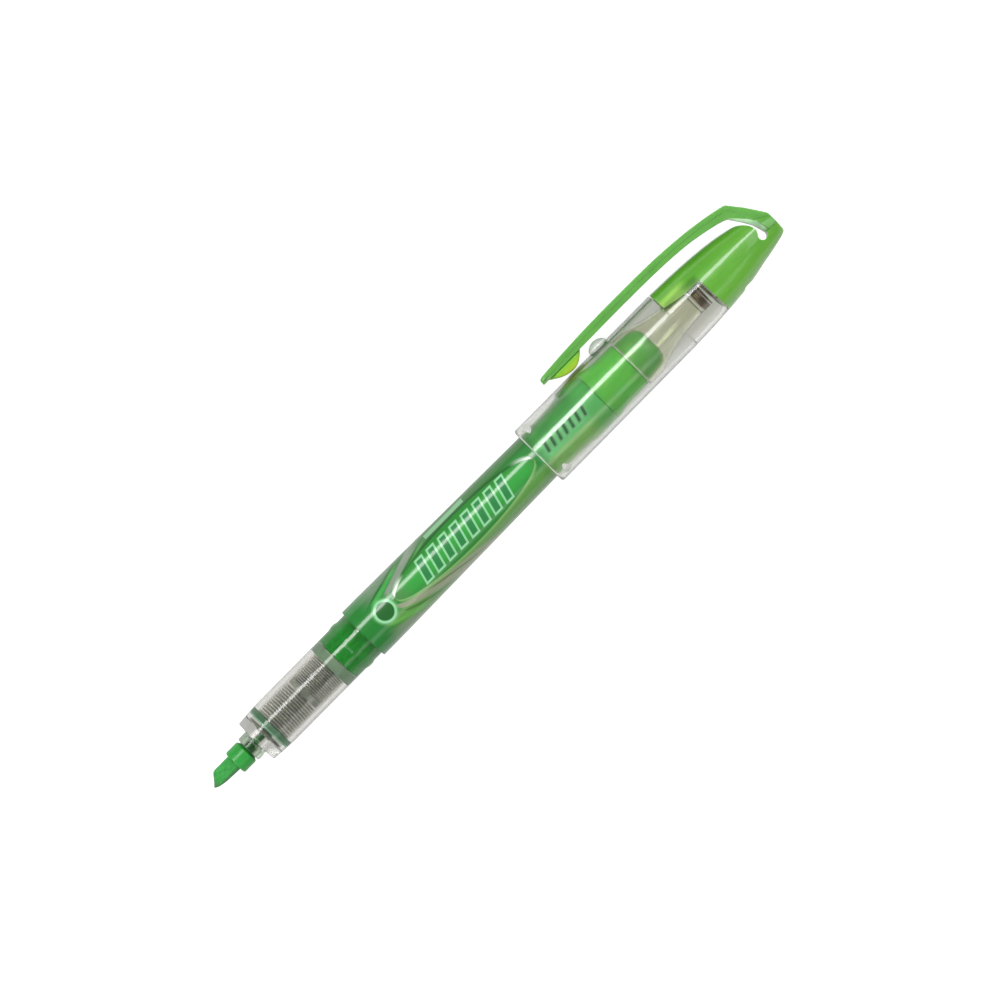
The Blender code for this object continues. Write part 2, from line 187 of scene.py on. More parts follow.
def lathe(name, profile, count=ROUND):
    """A solid turned from (x, radius) points. One that starts and ends on the axis closes there."""
    open_line = profile[0][1] == 0 and profile[-1][1] == 0
    verts = []
    rows = []
    for x, radius in profile:
        if radius == 0:
            rows.append([len(verts)] * count)
            verts.append((x, 0, 0))
            continue
        rows.append(list(range(len(verts), len(verts) + count)))
        for i in range(count):
            angle = TURN * i / count
            verts.append((x, radius * math.sin(angle), radius * math.cos(angle)))
    faces = []
    pairs = list(zip(rows, rows[1:])) + ([] if open_line else [(rows[-1], rows[0])])
    for one, two in pairs:
        for i in range(count):
            j = (i + 1) % count
            face = []
            for index in (one[i], one[j], two[j], two[i]):
                if index not in face:
                    face.append(index)
            if len(face) > 2:
                faces.append(face)
    return new_object(name, verts, faces)


def loft(name, rings):
    """A closed solid through rings of points, each ring with as many points."""
    count = len(rings[0])
    verts = [p for ring in rings for p in ring]
    faces = []
    for r in range(len(rings) - 1):
        for i in range(count):
            j = (i + 1) % count
            faces.append((r * count + i, r * count + j, (r + 1) * count + j, (r + 1) * count + i))
    faces.append(tuple(range(count)))
    faces.append(tuple(range((len(rings) - 1) * count, len(rings) * count)))
    return new_object(name, verts, faces)


def slab(name, outline, half_width):
    """A plate with this outline in x and y, as far above as below the pen's axis."""
    return loft(name, [[(x, y, side) for x, y in outline] for side in (-half_width, half_width)])


def box_between(name, low, high):
    """A box from its low corner to its high corner."""
    corners = ((low[1], low[2]), (high[1], low[2]), (high[1], high[2]), (low[1], high[2]))
    return loft(name, [[(x, y, z) for y, z in corners] for x in (low[0], high[0])])


def ring_at(x, centre, half_height, half_width, count=ROUND):
    """An oval square to the pen, which starts on the clip's side."""
    made = []
    for i in range(count):
        angle = TURN * i / count
        made.append((x, centre + half_height * math.cos(angle), half_width * math.sin(angle)))
    return made


def combine(obj, tool, operation):
    """A Boolean applied at once, after which the tool is gone."""
    modifier = obj.modifiers.new(operation.lower(), "BOOLEAN")
    modifier.operation = operation
    modifier.object = tool
    modifier.solver = "EXACT"
    bpy.context.view_layer.update()
    graph = bpy.context.evaluated_depsgraph_get()
    mesh = bpy.data.meshes.new_from_object(obj.evaluated_get(graph))
    obj.modifiers.remove(modifier)
    old = obj.data
    obj.data = mesh
    bpy.data.meshes.remove(old)
    bpy.data.objects.remove(tool)
    return obj


# Arithmetic on shader sockets


class Value:
    """A number that varies over the surface, with the usual arithmetic."""

    def __init__(self, tree, socket):
        self.tree = tree
        self.socket = socket

    def math(self, operation, *others):
        node = self.tree.nodes.new("ShaderNodeMath")
        node.operation = operation
        for slot, item in zip(node.inputs, (self, *others)):
            if isinstance(item, Value):
                self.tree.links.new(item.socket, slot)
            else:
                slot.default_value = item
        return Value(self.tree, node.outputs[0])

    def __add__(self, other):
        return self.math("ADD", other)

    def __sub__(self, other):
        return self.math("SUBTRACT", other)

    def __mul__(self, other):
        return self.math("MULTIPLY", other)

    def __truediv__(self, other):
        return self.math("DIVIDE", other)

    def __neg__(self):
        return self * -1

    def __abs__(self):
        return self.math("ABSOLUTE")

    def power(self, exponent):
        return self.math("MAXIMUM", 0.0).math("POWER", exponent)

    def least(self, other):
        return self.math("MINIMUM", other)

    def most(self, other):
        return self.math("MAXIMUM", other)

    def rise(self, low, high):
        """0 below low, 1 above high, smooth between. With low above high it falls instead."""
        node = self.tree.nodes.new("ShaderNodeMapRange")
        node.interpolation_type = "SMOOTHSTEP"
        self.tree.links.new(self.socket, node.inputs["Value"])
        ends = (low, high, 0, 1) if low < high else (high, low, 1, 0)
        for slot, value in zip(("From Min", "From Max", "To Min", "To Max"), ends):
            node.inputs[slot].default_value = value
        return Value(self.tree, node.outputs["Result"])


class Paint:
    """A Principled material under construction."""

    def __init__(self, name, colour, roughness, **sockets):
        self.material = bpy.data.materials.new(name)
        self.material.use_nodes = True
        self.tree = self.material.node_tree
        self.shader = self.tree.nodes["Principled BSDF"]
        self.shader.inputs["Base Color"].default_value = linear(colour)
        self.shader.inputs["Roughness"].default_value = roughness
        for socket, value in sockets.items():
            self.shader.inputs[socket.replace("_", " ")].default_value = value
        place = self.tree.nodes.new("ShaderNodeTexCoord")
        moved = self.tree.nodes.new("ShaderNodeVectorMath")
        moved.operation = "SUBTRACT"
        moved.inputs[1].default_value = START
        self.tree.links.new(place.outputs["Object"], moved.inputs[0])
        scaled = self.tree.nodes.new("ShaderNodeVectorMath")
        scaled.operation = "SCALE"
        scaled.inputs["Scale"].default_value = 1 / MM
        self.tree.links.new(moved.outputs[0], scaled.inputs[0])
        self.vector = scaled.outputs[0]
        split = self.tree.nodes.new("ShaderNodeSeparateXYZ")
        self.tree.links.new(self.vector, split.inputs[0])
        self.x, self.y, self.z = (Value(self.tree, out) for out in split.outputs)

    def texture(self, kind, scale, stretch):
        """A texture node laid along the pen. The scale is in bumps per millimetre."""
        node = self.tree.nodes.new(kind)
        node.inputs["Scale"].default_value = scale
        mapping = self.tree.nodes.new("ShaderNodeMapping")
        mapping.inputs["Scale"].default_value = stretch
        self.tree.links.new(self.vector, mapping.inputs["Vector"])
        self.tree.links.new(mapping.outputs[0], node.inputs["Vector"])
        return node

    def noise(self, scale, stretch=(1, 1, 1), detail=3.0):
        """Noise between 0 and 1."""
        node = self.texture("ShaderNodeTexNoise", scale, stretch)
        node.inputs["Detail"].default_value = detail
        node.inputs["Roughness"].default_value = 0.55
        return Value(self.tree, node.outputs[0])

    def cells(self, scale, stretch):
        """The distance to the nearest of many scattered points."""
        node = self.texture("ShaderNodeTexVoronoi", scale, stretch)
        return Value(self.tree, node.outputs["Distance"])

    def mix(self, factor, first, second):
        """A colour socket between two colours, each an sRGB triple or a socket."""
        node = self.tree.nodes.new("ShaderNodeMix")
        node.data_type = "RGBA"
        self.tree.links.new(factor.socket, node.inputs["Factor"])
        for slot, item in ((node.inputs[6], first), (node.inputs[7], second)):
            if isinstance(item, tuple):
                slot.default_value = linear(item)
            else:
                self.tree.links.new(item, slot)
        return node.outputs[2]

    def colour(self, socket):
        """Let a colour socket set the base colour."""
        self.tree.links.new(socket, self.shader.inputs["Base Color"])

    def tint(self, mask, over):
        """Lay another colour over the base colour where the mask is 1."""
        under = self.shader.inputs["Base Color"].links[0].from_socket
        self.colour(self.mix(mask, under, over))

    def drive(self, socket, value, low, high):
        """Let a 0 to 1 value set a shader socket between low and high."""
        node = self.tree.nodes.new("ShaderNodeMapRange")
        self.tree.links.new(value.socket, node.inputs["Value"])
        node.inputs["To Min"].default_value = low
        node.inputs["To Max"].default_value = high
        self.tree.links.new(node.outputs[0], self.shader.inputs[socket])

    def bump(self, height, depth_mm):
        """Let a height of about 0 to 1 raise the surface by so many millimetres."""
        node = self.tree.nodes.new("ShaderNodeBump")
        node.inputs["Strength"].default_value = 1.0
        node.inputs["Distance"].default_value = depth_mm * MM
        self.tree.links.new(height.socket, node.inputs["Height"])
        self.tree.links.new(node.outputs[0], self.shader.inputs["Normal"])


def linear(colour):
    """The linear colour with alpha for an sRGB triple from 0 to 255."""
    made = []
    for channel in colour:
        share = channel / 255
        made.append(share / 12.92 if share <= 0.04045 else ((share + 0.055) / 1.055) ** 2.4)
    return (*made, 1)


# Materials


def felt(name):
    """Pressed fibre soaked with ink: strands along the nib, darker and wetter at its writing edge, with
    painted shade darkening its lower side.
    """
    paint = Paint(name, (44, 160, 58), 0.75, Sheen_Weight=0.25, Sheen_Roughness=0.6)
    strands = paint.noise(5.5, (0.25, 1, 1), 5)
    wet = paint.x.rise(1.6, 0.1)
    # Painted shade: the nib's lower side is darkened.
    edge = paint.y.rise(-0.5, -1.45)
    shade = paint.mix(strands.rise(0.3, 0.75), (22, 128, 40), (52, 164, 66))
    shade = paint.mix(edge * 0.85, shade, (44, 92, 48))
    paint.colour(paint.mix(wet * 0.7, shade, (36, 92, 46)))
    paint.drive("Roughness", wet, 0.8, 0.5)
    paint.bump(strands + paint.cells(9, (0.4, 1, 1)) * 0.5, 0.03)
    return paint.material


def moulded(name, dark, light, roughness, mottle=0.5, **sockets):
    """Moulded plastic with faint flow marks, an even sheen and a fine skin."""
    paint = Paint(name, light, roughness, **sockets)
    flow = paint.noise(0.35, (0.35, 1, 1), 4)
    paint.colour(paint.mix(flow.rise(0.5 - mottle, 0.5 + mottle), dark, light))
    fine = paint.noise(7, (0.6, 1, 1), 2)
    paint.drive("Roughness", fine, roughness * 0.8, roughness * 1.25)
    paint.bump(fine, 0.0015)
    return paint


def clear(name, colour, roughness, smear=0.5):
    """Clear plastic: polished, with faint handling smears and soft flow waves."""
    paint = Paint(name, colour, roughness, Transmission_Weight=1.0, IOR=1.49)
    smears = paint.noise(0.5, (0.3, 1, 1), 5)
    paint.drive("Roughness", smears.rise(0.45, 0.8), roughness, roughness + 0.1 * smear)
    paint.bump(paint.noise(0.5, (0.25, 1, 1), 2), 0.0004)
    return paint


def floor_paint():
    """Pale paper on a light table: it glows white to the camera and more softly to other rays."""
    material = bpy.data.materials.new("floor_white")
    material.use_nodes = True
    tree = material.node_tree
    shader = tree.nodes["Principled BSDF"]
    shader.inputs["Roughness"].default_value = 0.9
    shader.inputs["Specular IOR Level"].default_value = 0.1
    shader.inputs["Emission Color"].default_value = (1, 1, 1, 1)
    rays = tree.nodes.new("ShaderNodeLightPath")
    glow = tree.nodes.new("ShaderNodeMapRange")
    glow.inputs["To Min"].default_value = 0.4
    glow.inputs["To Max"].default_value = 0.92
    tree.links.new(rays.outputs["Is Camera Ray"], glow.inputs["Value"])
    tree.links.new(glow.outputs[0], shader.inputs["Emission Strength"])
    noise = tree.nodes.new("ShaderNodeTexNoise")
    noise.inputs["Scale"].default_value = 60
    grain = tree.nodes.new("ShaderNodeMix")
    grain.data_type = "RGBA"
    grain.inputs[6].default_value = (0.34, 0.34, 0.34, 1)
    grain.inputs[7].default_value = (0.36, 0.36, 0.36, 1)
    tree.links.new(noise.outputs[0], grain.inputs["Factor"])
    tree.links.new(grain.outputs[2], shader.inputs["Base Color"])
    return material


def comb_paint():
    """Translucent pale discs, with ink held between them near the core."""
    paint = Paint("comb_grey", (216, 218, 208), 0.35, Transmission_Weight=0.25, IOR=1.4)
    radius = (paint.y * paint.y + paint.z * paint.z).power(0.5)
    inky = radius.rise(2.4, 1.5)
    stain = paint.noise(0.8, (1, 1, 1), 3).rise(0.35, 0.7)
    shade = paint.mix(inky, (250, 250, 242), (198, 206, 194))
    shade = paint.mix(paint.x.rise(14.6, 14.4), shade, (150, 158, 146))
    shade = paint.mix(abs(paint.x - 24.75).rise(0.9, 0.7), shade, (204, 210, 200))
    paint.colour(paint.mix(stain * 0.3, shade, (150, 168, 150)))
    paint.bump(paint.noise(6, (1, 1, 1), 2), 0.002)
    return paint.material


def ink_paint():
    """Bright ink pressed against the clear wall, with faint streaks where it has run."""
    paint = Paint("ink_green", (46, 140, 62), 0.12)
    run = paint.noise(0.5, (0.4, 1, 1), 4)
    shade = paint.mix(run.rise(0.3, 0.75), (16, 160, 36), (26, 168, 46))
    # Painted light: the ink is paler towards its lower side, away from the clip.
    low_side_painted_light = paint.y.rise(-1.0, -4.5)
    paint.colour(paint.mix(low_side_painted_light * 0.5, shade, (60, 166, 68)))
    paint.drive("Roughness", run, 0.08, 0.2)
    return paint.material


def wick_paint(name):
    """Green fibre bundled along the pen."""
    paint = Paint(name, (60, 138, 74), 0.9)
    strands = paint.noise(6, (0.2, 1, 1), 4)
    paint.colour(paint.mix(strands, (34, 104, 48), (72, 150, 84)))
    paint.bump(strands, 0.02)
    return paint.material


def steel(name):
    """Drawn wire with fine darker marks."""
    paint = Paint(name, (96, 86, 74), 0.3, Metallic=1.0)
    drawn = paint.noise(9, (1, 1, 1), 4)
    paint.colour(paint.mix(drawn, (92, 76, 56), (164, 148, 122)))
    paint.drive("Roughness", drawn, 0.22, 0.45)
    paint.bump(drawn, 0.004)
    return paint.material


def grip(name):
    """Softer lime plastic, with painted shade making it a deeper green towards the clip."""
    paint = Paint(name, (150, 196, 52), 0.3, Subsurface_Weight=0.35, Subsurface_Scale=0.0012)
    paint.shader.inputs["Subsurface Radius"].default_value = (1.0, 0.9, 0.25)
    # Painted shade: a deeper green along the pad's upper part, under the clip.
    painted_shade_by_clip = paint.y.rise(7.4, 8.5)
    cloud = paint.noise(0.8, (1, 1, 1), 3)
    shade = paint.mix(cloud, (144, 180, 40), (160, 192, 54))
    paint.colour(paint.mix(painted_shade_by_clip, shade, (112, 186, 40)))
    paint.bump(paint.noise(8, (1, 1, 1), 2), 0.002)
    return paint.material


def stroke(paint, centre, width):
    """How much a brushed line covers: 1 on the centre, 0 beyond its width. Both may vary with x."""
    away = abs(paint.y - centre)
    return (away / width).rise(1.0, 0.55)


def print_paint(name):
    """The barrel's print: an oval panel with outlined slanted bars, a ringed dot and silver sweeps."""
    paint = Paint(name, (92, 150, 88), 0.2, Coat_Weight=0.5, Coat_Roughness=0.08)
    x = paint.x
    y = paint.y
    # The barrel's green, deeper at the front and warmer on the lower side. Its darker upper edge is
    # partly the print's tone and partly painted shade, and painted shade dulls its lower edge a little.
    shade = paint.mix(y.rise(-0.9, -2.9), (50, 130, 58), (92, 150, 68))
    shade = paint.mix(y.rise(2.6, 4.0), shade, (42, 110, 40))
    shade = paint.mix(y.rise(-3.4, -4.8) * 0.5, shade, (84, 136, 72))
    shade = paint.mix(x.rise(49, 43.5), shade, (32, 120, 44))
    # It is painted lighter towards the rear, where the cap covers it when posted: painted light that
    # makes up for the light the cap holds back.
    light = paint.mix(y.rise(-1.4, -2.4), (126, 230, 146), (142, 214, 104))
    light = paint.mix(y.rise(1.0, 2.4), light, (76, 176, 80))
    light = paint.mix(y.rise(3.2, 4.4), light, (72, 150, 70))
    light = paint.mix(x.rise(98.0, 101.0) * 0.7, light, (94, 204, 98))
    shade = paint.mix(x.rise(86.5, 90.0), shade, light)
    # Silver wedges at both edges behind the barrel's front
    silver = (126, 142, 122)
    wedge = (y - (x - 44.4) * 0.28 - 2.6).rise(0.0, 0.5) * x.rise(42.5, 47.5) * x.rise(55.5, 51.5)
    shade = paint.mix(wedge * 0.7, shade, (108, 134, 108))
    wedge = (-y - (x - 44.4) * 0.27 - 2.9).rise(0.0, 0.5) * x.rise(42.5, 47.5) * x.rise(56, 52)
    shade = paint.mix(wedge * 0.7, shade, (112, 134, 104))
    # Light green haloes that leave the dot and turn outwards, and a dark hairline over the upper
    out = (x - 45.0).most(0.0)
    fade = x.rise(44.6, 46.6) * x.rise(55.0, 51.5)
    halo = stroke(paint, out * 0.25 + 2.3, 0.5) * fade
    shade = paint.mix(halo * 0.7, shade, (70, 168, 78))
    halo = stroke(paint, -(out * 0.27 + 2.5), 0.45) * fade
    shade = paint.mix(halo * 0.8, shade, (96, 172, 72))
    hairline = stroke(paint, out * 0.25 + 2.9, 0.2) * fade
    shade = paint.mix(hairline * 0.8, shade, (44, 96, 44))
    # Silver sweeps from the panel's tip to both edges
    run = (x - 48.4).most(0.0)
    curl = run.power(0.5) * 1.12
    start = x.rise(48.0, 49.4)
    sweep = stroke(paint, run * 0.3 + 1.95, run * 0.03 + 0.62) * start * x.rise(62, 56)
    shade = paint.mix(sweep, shade, silver)
    sweep = stroke(paint, (x - 52.2) * 0.26 + 1.95, 0.36) * x.rise(51, 53) * x.rise(62, 58)
    shade = paint.mix(sweep * 0.8, shade, (96, 168, 88))
    sweep = stroke(paint, -(curl + 0.35), run * 0.04 + 0.62) * start * x.rise(74, 62)
    shade = paint.mix(sweep, shade, (142, 152, 122))
    sweep = stroke(paint, -(curl - 0.3), 0.4) * x.rise(54, 58) * x.rise(76, 68)
    shade = paint.mix(sweep * 0.7, shade, (140, 148, 116))
    sweep = stroke(paint, -(curl + 0.02), 0.22) * x.rise(54, 57) * x.rise(70, 63)
    shade = paint.mix(sweep * 0.8, shade, (80, 122, 64))
    sweep = stroke(paint, -(curl + 1.5), 0.22) * x.rise(48.4, 50) * x.rise(59, 55)
    shade = paint.mix(sweep * 0.8, shade, (56, 108, 50))
    # The panel: a long oval with a dark upper and a pale lower rim
    middle = 0.2
    share = (x - 68.0) / 18.35
    body = (share * share * -1 + 1).power(0.5)
    inside = body * 3.42 - abs(y - middle)
    here = x.rise(49.2, 49.9) * x.rise(86.8, 86.2)
    outline = inside.rise(-0.8, -0.1) * inside.rise(0.1, -0.05) * here
    top = (y - middle).rise(-0.2, 0.4)
    shade = paint.mix(outline * top * 0.85, shade, (32, 84, 36))
    shade = paint.mix(outline * (-top + 1) * 0.8, shade, (132, 178, 108))
    leaf = paint.mix(abs(y - 0.1).rise(2.8, 0.6), (44, 128, 48), (52, 150, 60))
    leaf = paint.mix(x.rise(54.0, 50.0) * 0.6, leaf, (84, 116, 74))
    leaf = paint.mix(x.rise(84.0, 86.3) * 0.5, leaf, (64, 120, 60))
    shade = paint.mix(inside.rise(-0.06, 0.06), shade, leaf)
    # Painted highlights: white glints on the silver where the panel's ends meet it
    rim = inside.rise(-1.0, -0.1) * inside.rise(0.1, -0.05) * y.rise(0.3, 0.9)
    shade = paint.mix(rim * x.rise(48.4, 49.4) * x.rise(54, 51), shade, (226, 238, 222))
    shade = paint.mix(rim * x.rise(82.0, 85.6) * x.rise(88.2, 87.0), shade, (206, 222, 204))
    # Slanted bars in outline, in place of words
    for first, count, pitch, low, high, width, halo in (
        (57.2, 8, 3.05, -1.75, 2.35, 0.66, 0.46),
        (89.9, 7, 1.62, -0.85, 0.95, 0.3, 0.3),
    ):
        slant = x - y * 0.27 - first
        number = (slant / pitch).math("ROUND").most(0.0).least(count - 1.0)
        off = abs(slant - number * pitch)
        tall = abs(y - (low + high) / 2) - (high - low) / 2
        away = (off - width).most(tall)
        shade = paint.mix(away.rise(halo, halo - 0.1), shade, (134, 200, 146))
        shade = paint.mix(away.rise(0.04, -0.04), shade, (42, 124, 64))
    # A short mint dash high on the side, and the ringed dot
    dash = (abs(x - 66.5) - 4.8).most(abs(y - 4.5) - 0.14)
    shade = paint.mix(dash.rise(0.3, 0.18) * 0.85, shade, (128, 184, 136))
    far = ((x - 46.45) * (x - 46.45) + y * y).power(0.5)
    shade = paint.mix(far.rise(2.85, 2.4) * far.rise(2.1, 2.3) * 0.35, shade, (130, 190, 130))
    shade = paint.mix(far.rise(2.36, 2.26), shade, (138, 204, 150))
    shade = paint.mix(far.rise(1.84, 1.74), shade, (32, 96, 38))
    paint.colour(shade)
    fine = paint.noise(6, (0.5, 1, 1), 3)
    paint.drive("Roughness", fine, 0.14, 0.26)
    paint.bump(fine, 0.0012)
    return paint.material


# Pieces


def finish_piece(obj, body, slot, material, *nodes, angle=38):
    """Material, shading, body and the CAD nodes that the piece stands for."""
    obj.data.materials.clear()
    obj.data.materials.append(material)
    smooth(obj, angle)
    if body:
        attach(obj, body)
    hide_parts(*nodes)
    return obj


def soft_ring(x, bottom, top, half_width, corner):
    """A rounded rectangle square to the pen, between two heights over its axis."""
    half = (top - bottom) / 2
    centre = (top + bottom) / 2
    corner = min(corner, half, half_width)
    ring = []
    for start, up, side in ((0, 1, 1), (90, -1, 1), (180, -1, -1), (270, 1, -1)):
        for step in range(8):
            angle = math.radians(start + 90 * step / 7)
            y = centre + up * (half - corner) + corner * math.cos(angle)
            z = side * (half_width - corner) + corner * math.sin(angle)
            ring.append((x, y, z))
    return ring


def make_nib():
    # x, bottom, top, half width
    shape = curve_through(
        [
            (0.0, -0.62, -0.44, 1.62),
            (0.12, -0.72, -0.28, 1.68),
            (0.45, -0.90, 0.06, 1.73),
            (0.9, -1.08, 0.60, 1.75),
            (1.5, -1.21, 1.35, 1.75),
            (1.78, -1.26, 1.62, 1.75),
            (2.15, -1.31, 1.80, 1.75),
            (2.7, -1.36, 1.84, 1.75),
            (5.6, -1.49, 1.84, 1.75),
            (8.6, -1.50, 1.84, 1.75),
        ],
        5,
    )
    rings = [soft_ring(x, bottom, top, half, 0.75) for x, bottom, top, half in shape]
    rings.append(soft_ring(8.7, -0.62, 0.62, 0.62, 0.62))
    rings.append(soft_ring(12.2, -0.62, 0.62, 0.62, 0.62))
    finish_piece(loft("felt_nib", rings), "pen", "nib_fibre", felt("nib_felt"), "nib")


def make_holder():
    profile = rounded(
        [
            (5.94, 0.5, 0),
            (5.94, 2.4, 0.25),
            (6.2, 2.565, 0.3),
            (8.95, 2.565, 0.25),
            (9.44, 1.75, 0.12),
            (9.44, 1.05, 0.1),
            (10.9, 1.05, 0.2),
            (10.9, 0.5, 0),
        ],
        0.1,
    )
    paint = moulded(
        "holder_green", (38, 146, 52), (52, 156, 64), 0.28,
        Subsurface_Weight=0.3, Subsurface_Scale=0.001,
    )
    obj = lathe("nib_collar", profile)
    finish_piece(obj, "pen", "holder_green", paint.material, "nib_holder")


def make_front_section():
    profile = rounded(
        [
            (9.5, 2.62, 0.06),
            (9.65, 2.77, 0.08),
            (SHOULDER, 2.77, 0.12),
            (SHOULDER, 4.72, 0.22),
            (14.6, 4.93, 2),
            (17.0, 5.04, 3),
            *[(18.0 + 2 * i, 5.04, 0) for i in range(9)],
            (36.2, 5.04, 1.2),
            (36.9, 5.23, 0.8),
            (37.7, 5.23, 0.8),
            (38.4, 5.04, 1.2),
            (46.0, 5.04, 0.1),
            (46.0, 4.12, 0.1),
            (13.7, 4.12, 0.3),
            (13.6, 1.2, 0.1),
            (11.2, 1.2, 0.05),
            (11.15, 1.42, 0.05),
            (9.5, 1.42, 0.05),
        ],
        0.1,
    )
    body = (238, 237, 232)
    paint = clear("section_clear", body, 0.08)
    # Painted shade: the nose ahead of the shoulder is tinted a darker grey-green.
    paint.colour(paint.mix(paint.x.rise(12.2, 11.2), body, (190, 206, 184)))
    obj = lathe("clear_section", profile)
    finish_piece(obj, "pen", "section_clear", paint.material, "front_section")


def make_seals():
    outer = 4.17
    inner = 1.6
    paint = moulded("front_seal_green", (150, 214, 172), (166, 226, 186), 0.35)
    # Painted highlight: only the ring's front edge keeps the pale mint; behind it the ring is a darker
    # green.
    paint.tint(paint.x.rise(15.05, 15.2), (96, 146, 108))
    profile = rounded([(14.83, outer), (16.2, outer), (16.2, inner), (14.83, inner)], 0.08)
    obj = lathe("front_seal", profile)
    finish_piece(obj, "pen", "front_seal_green", paint.material, "front_seal_ring")
    paint = moulded("rear_seal_grey", (130, 164, 130), (150, 180, 148), 0.45)
    profile = rounded([(31.33, outer), (33.55, outer), (33.55, inner), (31.33, inner)], 0.1)
    obj = lathe("rear_seal", profile)
    finish_piece(obj, "pen", "rear_seal_grey", paint.material, "rear_seal_ring")


def fin_row(start, pitch, count, core):
    """The outline of a row of thin discs that stand on the comb's core."""
    thick = pitch * 0.42
    line = []
    for i in range(count):
        x = start + pitch * i
        line += [
            (x, core),
            (x + 0.02, 3.72),
            (x + 0.07, 3.8),
            (x + thick - 0.07, 3.8),
            (x + thick - 0.02, 3.72),
            (x + thick, core),
        ]
    return line


def make_comb():
    core = 1.45
    neck = 1.4
    bore = 0.76
    profile = [(13.85, 3.9), (13.9, 3.98), (14.3, 3.98), (14.35, 3.9), (14.35, neck)]
    profile += [(16.3, neck), (16.3, core)]
    profile += fin_row(16.35, 0.579, 13, core)
    profile += [(24.1, core), (24.1, 3.5), (24.2, 3.6), (25.3, 3.6), (25.4, 3.5), (25.4, core)]
    profile += fin_row(25.6, 0.475, 12, core)
    profile += [(31.3, core), (31.3, neck), (33.5, neck), (33.5, bore), (13.85, bore)]
    comb = lathe("fin_comb", profile)
    for side in (-1, 1):
        low, high = sorted((side * 2.1, side * 4.4))
        window = box_between("window", (24.0, -0.9, low), (25.5, 0.9, high))
        combine(comb, window, "DIFFERENCE")
    finish_piece(comb, "pen", "comb_grey", comb_paint(), "ink_comb")


def make_inside():
    """The wick and the ink behind it."""
    profile = rounded([(12.3, 0, 0), (12.3, 0.68, 0.1), (33.6, 0.68, 0.1), (33.6, 0, 0)], 0, False)
    obj = lathe("wick", profile, 32)
    finish_piece(obj, "pen", "wick_fibre", wick_paint("wick_fibre"), "feed_wick")
    profile = rounded(
        [
            (33.6, 0, 0),
            (33.6, 4.2, 0.15),
            (46.2, 4.2, 0.1),
            (46.3, 4.62, 0.1),
            (87.0, 4.08, 5),
            (96.6, 4.08, 0.3),
            (96.6, 0, 0),
        ],
        0.1,
        False,
    )
    finish_piece(lathe("ink", profile), "pen", "ink_green", ink_paint(), "ink_charge")


def barrel_line(offset):
    """The barrel's outer line from front to rear, moved outwards."""
    line = [
        (BARREL, 5.60),
        (63.0, 5.31),
        (87.0, 5.02),
        (92.5, 5.0),
        (94.6, 5.07),
        (96.6, 5.28),
        (98.4, 5.47),
        (100.0, 5.53),
        (103.35, 5.5),
    ]
    return [(x, r + offset) for x, r in curve_through(line, 6)]


def make_barrel():
    bore = [(103.35, 4.45), (96.8, 4.45), (96.4, 4.2), (87.0, 4.2)]
    bore += [(46.2, 4.74), (46.1, 5.1), (BARREL, 5.1)]
    look = moulded("barrel_green", (44, 128, 58), (58, 146, 72), 0.22).material
    obj = lathe("barrel_tube", barrel_line(0) + bore)
    finish_piece(obj, "pen", "barrel_green", look, "barrel")
    outer = barrel_line(0.14)
    # A small chamfer at the film's front edge
    outer[0] = (outer[0][0] + 0.05, outer[0][1] - 0.05)
    obj = lathe("printed_film", outer + barrel_line(0.03)[::-1])
    finish_piece(obj, "pen", "wrap_print", print_paint("wrap_print"), "barrel_wrap")


def make_plug():
    outside = rounded(
        [
            (103.5, 5.62, 0.1),
            (104.4, 5.56, 0.5),
            (106.0, 5.25, 1.5),
            (108.0, 5.1, 2),
            (112.0, 5.05, 0.12),
            (112.2, 4.75, 0.1),
            (114.2, 4.62, 3),
        ],
        0.3,
        False,
    )
    end = curve_through(
        [(114.2, 4.62), (115.7, 4.46), (116.9, 4.08), (117.6, 3.45), (117.95, 2.6), (118.05, 1.3)], 4
    )
    spigot = [(97.0, 3.4), (97.0, 4.35), (103.5, 4.35)]
    outer = spigot + outside + end[1:] + [(118.05, 0)]
    inner = [(116.9, 0), (116.6, 1.8), (115.2, 3.2), (112.0, 3.8), (105.5, 4.0), (103.5, 3.4)]
    paint = moulded(
        "plug_green", (112, 226, 84), (122, 234, 92), 0.2,
        Transmission_Weight=0.15, Subsurface_Weight=0.3, Subsurface_Scale=0.002,
    )
    # Its closed end is painted lighter: painted light for how it shows through the cap and the inner
    # cap.
    paint.tint(paint.x.rise(111.9, 112.3) * 0.7, (146, 252, 138))
    obj = lathe("end_plug", outer[::-1] + inner[::-1])
    finish_piece(obj, "pen", "plug_green", paint.material, "rear_plug")


def diamond(angle_from_top):
    """A diamond bump inside the sleeve's mouth, whose root is sunk into the wall."""
    across = math.radians(angle_from_top)
    middle = 89.75
    half_length = 1.15
    half_turn = 17.5
    corners = ((half_length, 0), (0, half_turn), (-half_length, 0), (0, -half_turn))
    rings = []
    for radius, share in ((6.1, 1.12), (5.82, 1.0), (5.65, 0.62), (5.63, 0.5)):
        ring = []
        for dx, turn in corners:
            angle = across + math.radians(turn * share)
            ring.append((middle + dx * share, radius * math.sin(angle), radius * math.cos(angle)))
        rings.append(ring)
    return loft("diamond", rings)


def dome():
    """The round stop on the sleeve under the clip."""
    # height over the pen's axis, radius
    line = curve_through(
        [(6.0, 2.1), (6.7, 2.1), (7.1, 1.92), (7.5, 1.5), (7.82, 0.85), (7.95, 0.1)], 5
    )
    middle = 110.2
    sides = 64
    rings = []
    for height, radius in line:
        ring = []
        for i in range(sides):
            angle = TURN * i / sides
            ring.append((middle + radius * math.cos(angle), height, radius * math.sin(angle)))
        rings.append(ring)
    return loft("dome", rings)


def frosted_dome(paint):
    """The dome is matt and milky, the mouth's rim is a little so, and the tube is clear."""
    outside = paint.y.rise(6.62, 6.75)
    paint.colour(paint.mix(outside, (250, 251, 246), (232, 238, 230)))
    rim = paint.x.rise(MOUTH + 0.35, MOUTH + 0.1) * 0.7
    paint.drive("Transmission Weight", outside.most(rim), 1.0, 0.35)
    return paint.material


